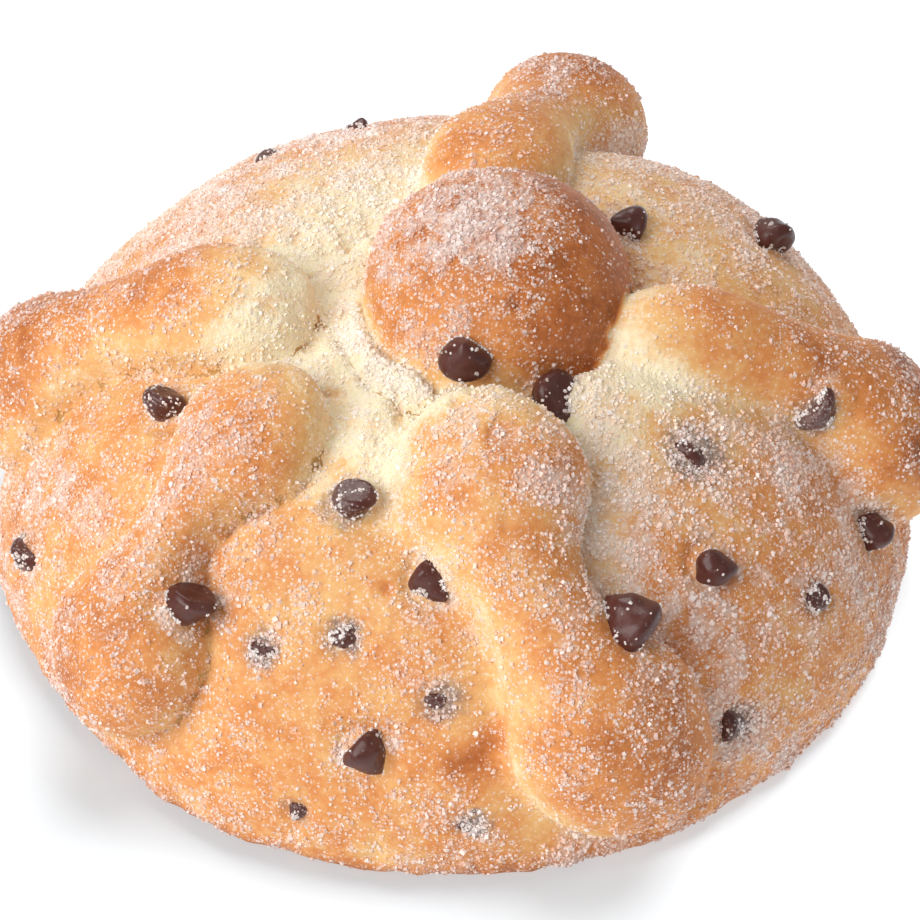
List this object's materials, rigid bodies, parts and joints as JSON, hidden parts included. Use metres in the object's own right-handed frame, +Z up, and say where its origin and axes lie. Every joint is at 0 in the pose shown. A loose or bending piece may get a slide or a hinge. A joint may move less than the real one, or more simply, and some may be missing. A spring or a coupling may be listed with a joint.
{
  "type": "sweet bread loaf",
  "caption": "Round sweet bread loaf with a knob on its crown, bone-shaped strips of dough down its sides, chocolate drops and a dusting of sugar.",
  "frame": {"origin": "on the flat base, under the middle of the loaf", "axes": "+Z up through the crown, -Y to the side that faces the camera in the picture, +X to the picture's right"},
  "size_m": [0.1702, 0.1653, 0.0735],
  "materials": {
    "crust": "golden baked crust, dusted with granulated sugar",
    "chocolate": "satin dark chocolate"
  },
  "bodies": {
    "root": {"bread": "crust", "drop_01": "chocolate", "drop_02": "chocolate", "drop_03": "chocolate", "drop_04": "chocolate", "drop_05": "chocolate", "drop_06": "chocolate", "drop_07": "chocolate", "drop_08": "chocolate", "drop_09": "chocolate", "drop_10": "chocolate", "drop_11": "chocolate", "drop_12": "chocolate", "drop_13": "chocolate", "drop_14": "chocolate", "drop_15": "chocolate", "drop_16": "chocolate", "drop_17": "chocolate", "drop_18": "chocolate", "drop_19": "chocolate", "drop_20": "chocolate", "drop_21": "chocolate", "drop_22": "chocolate", "drop_23": "chocolate", "drop_24": "chocolate", "drop_25": "chocolate", "drop_26": "chocolate", "drop_27": "chocolate", "drop_28": "chocolate", "drop_29": "chocolate", "drop_30": "chocolate", "drop_31": "chocolate", "drop_32": "chocolate"}
  },
  "joints": []
}
